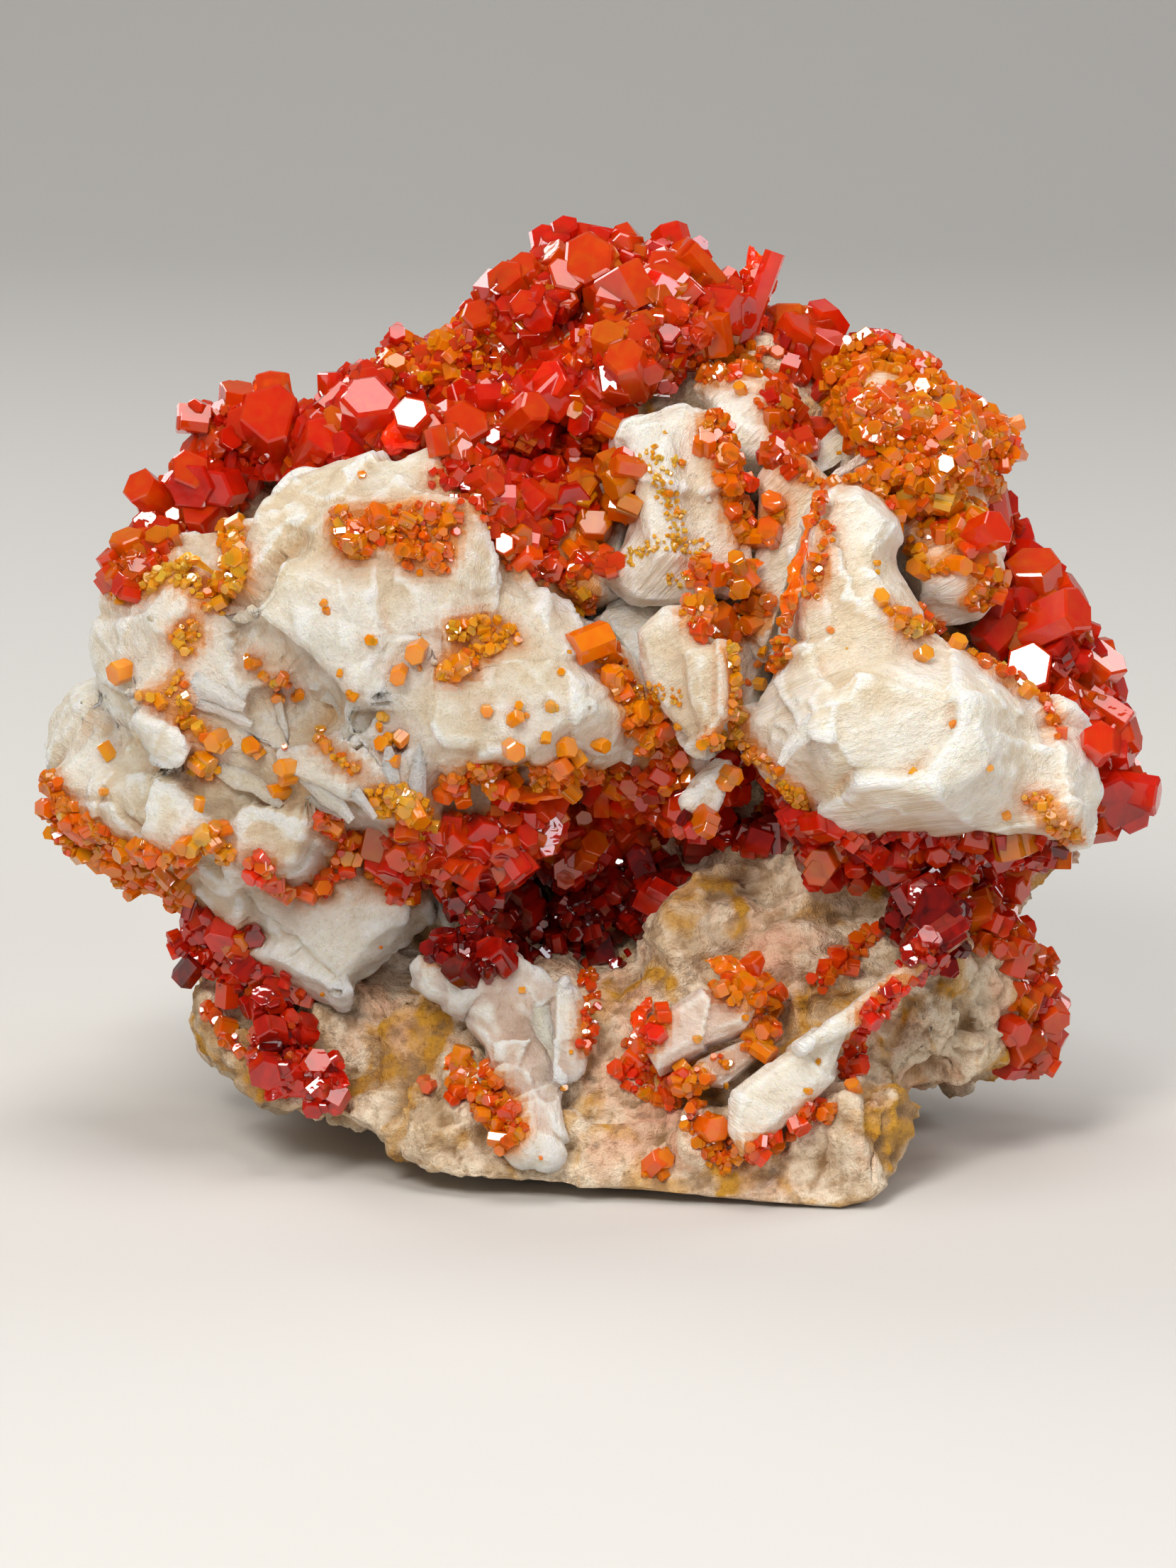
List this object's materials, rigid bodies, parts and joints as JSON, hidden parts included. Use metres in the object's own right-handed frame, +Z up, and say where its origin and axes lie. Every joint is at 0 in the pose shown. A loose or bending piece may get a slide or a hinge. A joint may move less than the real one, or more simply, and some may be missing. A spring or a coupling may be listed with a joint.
{
  "type": "vanadinite crystals on barite and rock matrix",
  "caption": "Free-standing mineral specimen: stout red and orange hexagonal prisms grown over white bladed barite on a broken host rock with a flat underside.",
  "frame": {"origin": "on the flat underside's plane, under the middle of the specimen's bounding box", "axes": "+Z up as it stands, +X to the right along its width as seen from the front, +Y to the back, away from the crystal face"},
  "size_m": [0.0502, 0.0332, 0.0402],
  "materials": {
    "vanadinite_red": "deep red, see-through at thin edges, glassy to resinous faces",
    "vanadinite_orange": "orange to amber, see-through, glassy faces",
    "barite_white": null,
    "matrix_rock": null
  },
  "bodies": {
    "root": {"barite_back_blade": "barite_white", "barite_centre_bed": "barite_white", "barite_centre_blade": "barite_white", "barite_chip": "barite_white", "barite_cream_slab": "barite_white", "barite_dome_core": "barite_white", "barite_fins": "barite_white", "barite_hook_blade": "barite_white", "barite_lath": "barite_white", "barite_left_mass": "barite_white", "barite_lower_blade": "barite_white", "barite_rear_mass": "barite_white", "barite_right_mass": "barite_white", "barite_square_slab": "barite_white", "barite_tall_blade": "barite_white", "barite_under_slab": "barite_white", "matrix_rock": "matrix_rock", "vanadinite_above_blade": "vanadinite_red", "vanadinite_blade_patch": "vanadinite_orange", "vanadinite_block_group": "vanadinite_orange", "vanadinite_cave_wall": "vanadinite_red", "vanadinite_centre_chain": "vanadinite_orange", "vanadinite_dark_group": "vanadinite_red", "vanadinite_dome_crest": "vanadinite_orange", "vanadinite_dome_face": "vanadinite_orange", "vanadinite_gully": "vanadinite_orange", "vanadinite_hook_left": "vanadinite_orange", "vanadinite_hook_top": "vanadinite_orange", "vanadinite_lath_left": "vanadinite_orange", "vanadinite_lath_right": "vanadinite_red", "vanadinite_left_heel": "vanadinite_red", "vanadinite_left_lip": "vanadinite_orange", "vanadinite_left_rim": "vanadinite_orange", "vanadinite_left_shelf": "vanadinite_orange", "vanadinite_overhang_right": "vanadinite_red", "vanadinite_peak": "vanadinite_red", "vanadinite_rear_crest": "vanadinite_red", "vanadinite_ridge_left": "vanadinite_red", "vanadinite_ridge_middle": "vanadinite_red", "vanadinite_ridge_rear": "vanadinite_red", "vanadinite_right_flank": "vanadinite_red", "vanadinite_right_foot": "vanadinite_red", "vanadinite_right_shoulder": "vanadinite_red", "vanadinite_right_shoulder_low": "vanadinite_red", "vanadinite_right_tail": "vanadinite_red", "vanadinite_seam": "vanadinite_orange", "vanadinite_slab_left": "vanadinite_red", "vanadinite_slab_top": "vanadinite_orange", "vanadinite_slope": "vanadinite_red", "vanadinite_spike": "vanadinite_red", "vanadinite_under_left_mass": "vanadinite_red"}
  },
  "joints": []
}
